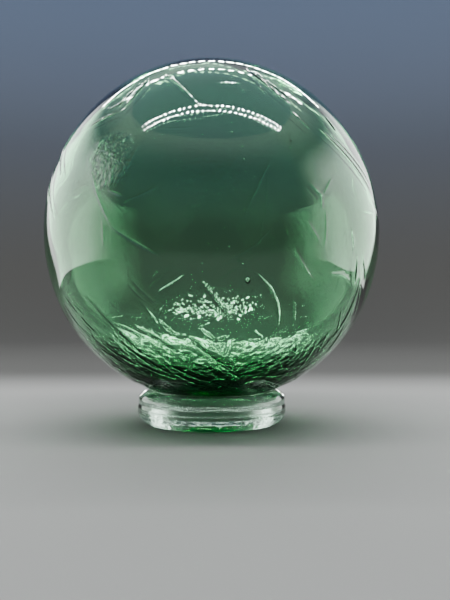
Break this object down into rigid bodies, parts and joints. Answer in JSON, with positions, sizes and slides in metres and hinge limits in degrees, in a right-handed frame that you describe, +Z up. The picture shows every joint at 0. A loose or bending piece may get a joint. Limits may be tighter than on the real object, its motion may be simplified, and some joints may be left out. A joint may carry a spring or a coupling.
{
  "type": "glass float ball",
  "caption": "Sealed green blown glass float ball with fine cooling wrinkles in its skin, standing in a low ring of clear pressed glass.",
  "frame": {"origin": "middle of the ring stand's flat underside, on the surface that it stands on", "axes": "+Z up through the ring and the float, -Y towards the front of the float, +X to its right as seen from the front"},
  "size_m": [0.1268, 0.1268, 0.138],
  "materials": {
    "green_glass": "clear green blown glass, fire polished, with raised cooling wrinkles",
    "clear_glass": "clear pressed glass, fire polished"
  },
  "bodies": {
    "root": {"glass_float": "green_glass", "ring_stand": "clear_glass"}
  },
  "joints": []
}
